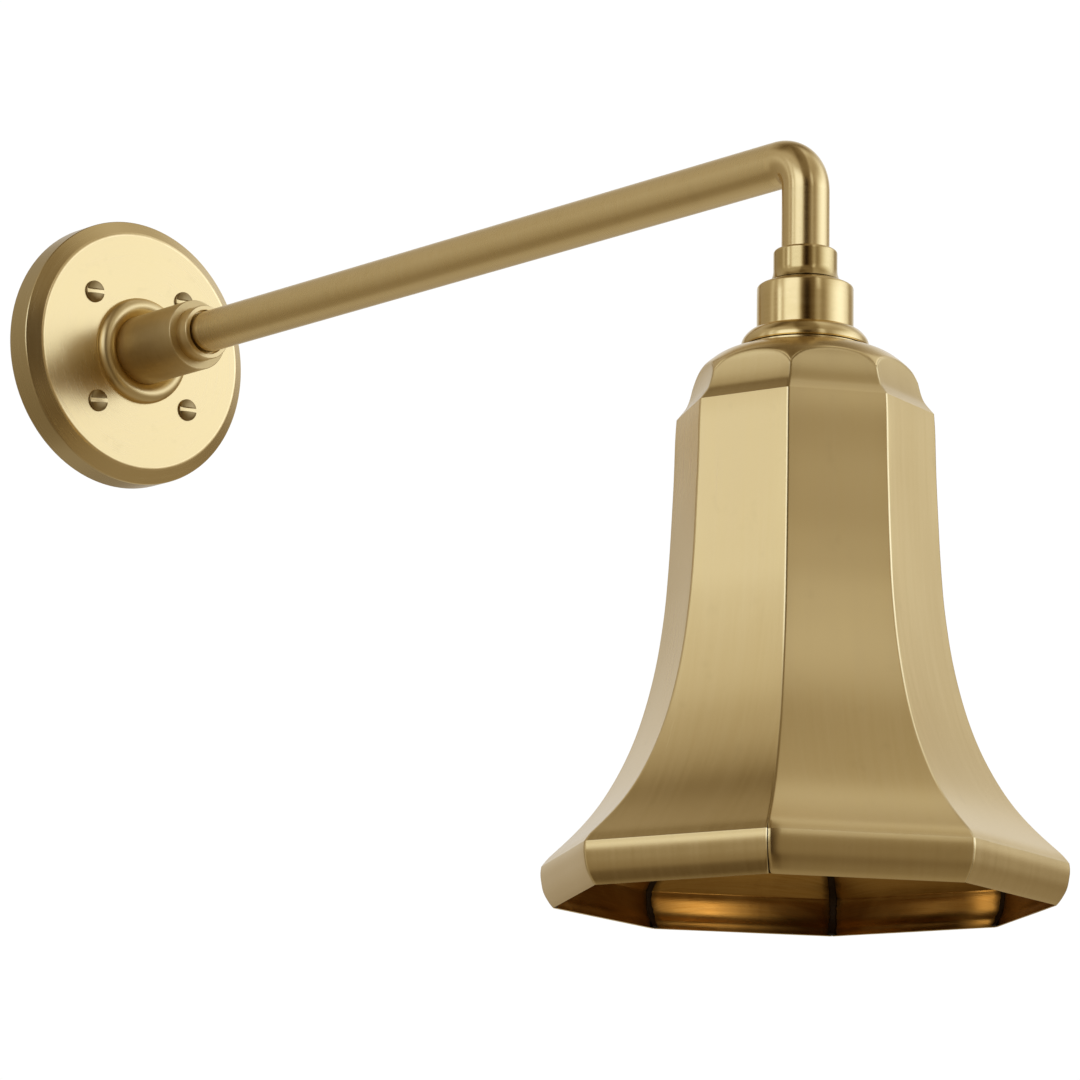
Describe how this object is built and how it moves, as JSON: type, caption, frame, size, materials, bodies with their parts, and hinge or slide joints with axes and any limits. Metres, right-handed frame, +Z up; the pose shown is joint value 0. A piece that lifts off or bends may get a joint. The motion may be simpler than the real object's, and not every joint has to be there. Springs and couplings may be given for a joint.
{
  "type": "hanging pendant wall sconce",
  "caption": "Brass wall sconce: round wall plate, long straight arm with an elbow, and a faceted bell shade hanging from a lampholder cup.",
  "frame": {"origin": "centre of the wall plate's back, on the wall surface", "axes": "+Z up, +X to the right along the wall seen from the room, +Y into the wall; the arm runs along -Y and the shade hangs below its end"},
  "size_m": [0.2042, 0.5634, 0.3641],
  "materials": {
    "brushed_brass": "satin brushed, lacquered",
    "turned_brass": "satin, fine turning lines round the axis",
    "shade_brass": "satin, brushed down each panel",
    "screw_brass": "dull, darker than the plate",
    "plain_brass": "plain rolled",
    "zinc_steel": "zinc plated",
    "porcelain": "glazed white",
    "ring_plastic": "moulded dark brown",
    "fibre": "vulcanised fibre",
    "wire_black": "insulation",
    "wire_white": "insulation",
    "wire_green": "insulation",
    "connector_plastic": "moulded orange"
  },
  "bodies": {
    "fixture": {"wall_plate": "brushed_brass", "cover_screws": "screw_brass", "fixing_plate": "zinc_steel", "cover_pillars": "zinc_steel", "earth_screw": "zinc_steel", "hub_bead": "turned_brass", "hub_barrel": "turned_brass", "arm_set_screw": "zinc_steel", "hub_nose": "turned_brass", "hub_stud": "zinc_steel", "hub_nut": "zinc_steel", "hub_washer": "zinc_steel", "arm_tube": "brushed_brass", "elbow": "turned_brass", "drop_tube": "turned_brass", "stem_coupling": "turned_brass", "socket_cup": "turned_brass", "skirt_ring": "turned_brass", "stem_nipple": "zinc_steel", "cup_nut": "zinc_steel", "lampholder_cap": "porcelain", "holder_nut": "zinc_steel", "lampholder_body": "porcelain", "screw_shell": "plain_brass", "live_terminal": "plain_brass", "neutral_terminal": "plain_brass", "terminal_screws": "plain_brass", "contact_foot": "plain_brass", "live_wire": "wire_black", "neutral_wire": "wire_white", "earth_wire": "wire_green", "wire_connectors": "connector_plastic"},
    "shade": {"shade_crown": "turned_brass", "seat_washer": "turned_brass", "shade_panel_1": "shade_brass", "shade_panel_2": "shade_brass", "shade_panel_3": "shade_brass", "shade_panel_4": "shade_brass", "shade_panel_5": "shade_brass", "shade_panel_6": "shade_brass", "shade_panel_7": "shade_brass", "shade_panel_8": "shade_brass"},
    "clamp": {"clamp_washer": "fibre"},
    "ring": {"shade_ring": "ring_plastic"},
    "contact": {"centre_contact": "plain_brass"}
  },
  "joints": [
    {"name": "clamp_drop", "type": "slide", "parent": "fixture", "child": "clamp", "axis": [0, 0, 1], "range_m": [-0.012, 0]},
    {"name": "shade_turn", "type": "hinge", "parent": "clamp", "child": "shade", "pos_m": [0, -0.4613, -0.081], "axis": [0, 0, 1], "continuous": true},
    {"name": "ring_turn", "type": "hinge", "parent": "clamp", "child": "ring", "pos_m": [0, -0.4613, -0.087], "axis": [0, 0, 1], "range_deg": [-2160, 0]},
    {"name": "contact_press", "type": "hinge", "parent": "fixture", "child": "contact", "pos_m": [-0.0064, -0.4613, -0.0921], "axis": [0, -1, 0], "range_deg": [0, 8], "stiffness_Nm_per_rad": 0.1}
  ],
  "couplings": [
    {"joint": "ring_turn", "follows": "clamp_drop", "rad_per_m": 3141.6}
  ]
}
